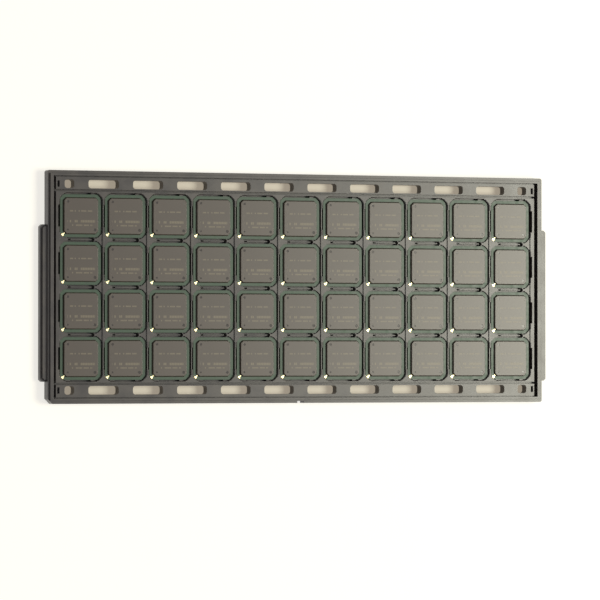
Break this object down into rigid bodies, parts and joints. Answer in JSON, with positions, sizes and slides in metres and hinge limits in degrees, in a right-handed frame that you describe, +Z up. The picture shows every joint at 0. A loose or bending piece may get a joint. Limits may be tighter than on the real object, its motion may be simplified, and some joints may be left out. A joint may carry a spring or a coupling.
{
  "type": "ic matrix tray",
  "caption": "Shallow stackable matrix tray of dark moulded plastic, with end tabs and slotted side rails, filled with square ball grid packages in a grid of pockets.",
  "frame": {"origin": "middle of the tray, on the plane that its skirt rests on", "axes": "+X along the long side, +Y across the tray, +Z up out of the pockets; the keyed corner is at -X, -Y"},
  "size_m": [0.3226, 0.136, 0.0076],
  "materials": {
    "tray_plastic": "carbon filled moulding, fine satin",
    "package_mould": "filled epoxy, matt",
    "package_laminate": "green solder mask, semi gloss",
    "gold_pad": "gold plated copper",
    "solder_ball": "reflowed solder, bright"
  },
  "bodies": {
    "root": {"tray": "tray_plastic", "package_r1_c01": "package_mould", "package_r1_c02": "package_mould", "package_r1_c03": "package_mould", "package_r1_c04": "package_mould", "package_r1_c05": "package_mould", "package_r1_c06": "package_mould", "package_r1_c07": "package_mould", "package_r1_c08": "package_mould", "package_r1_c09": "package_mould", "package_r1_c10": "package_mould", "package_r1_c11": "package_mould", "package_r2_c01": "package_mould", "package_r2_c02": "package_mould", "package_r2_c03": "package_mould", "package_r2_c04": "package_mould", "package_r2_c05": "package_mould", "package_r2_c06": "package_mould", "package_r2_c07": "package_mould", "package_r2_c08": "package_mould", "package_r2_c09": "package_mould", "package_r2_c10": "package_mould", "package_r2_c11": "package_mould", "package_r3_c01": "package_mould", "package_r3_c02": "package_mould", "package_r3_c03": "package_mould", "package_r3_c04": "package_mould", "package_r3_c05": "package_mould", "package_r3_c06": "package_mould", "package_r3_c07": "package_mould", "package_r3_c08": "package_mould", "package_r3_c09": "package_mould", "package_r3_c10": "package_mould", "package_r3_c11": "package_mould", "package_r4_c01": "package_mould", "package_r4_c02": "package_mould", "package_r4_c03": "package_mould", "package_r4_c04": "package_mould", "package_r4_c05": "package_mould", "package_r4_c06": "package_mould", "package_r4_c07": "package_mould", "package_r4_c08": "package_mould", "package_r4_c09": "package_mould", "package_r4_c10": "package_mould", "package_r4_c11": "package_mould"}
  },
  "joints": []
}
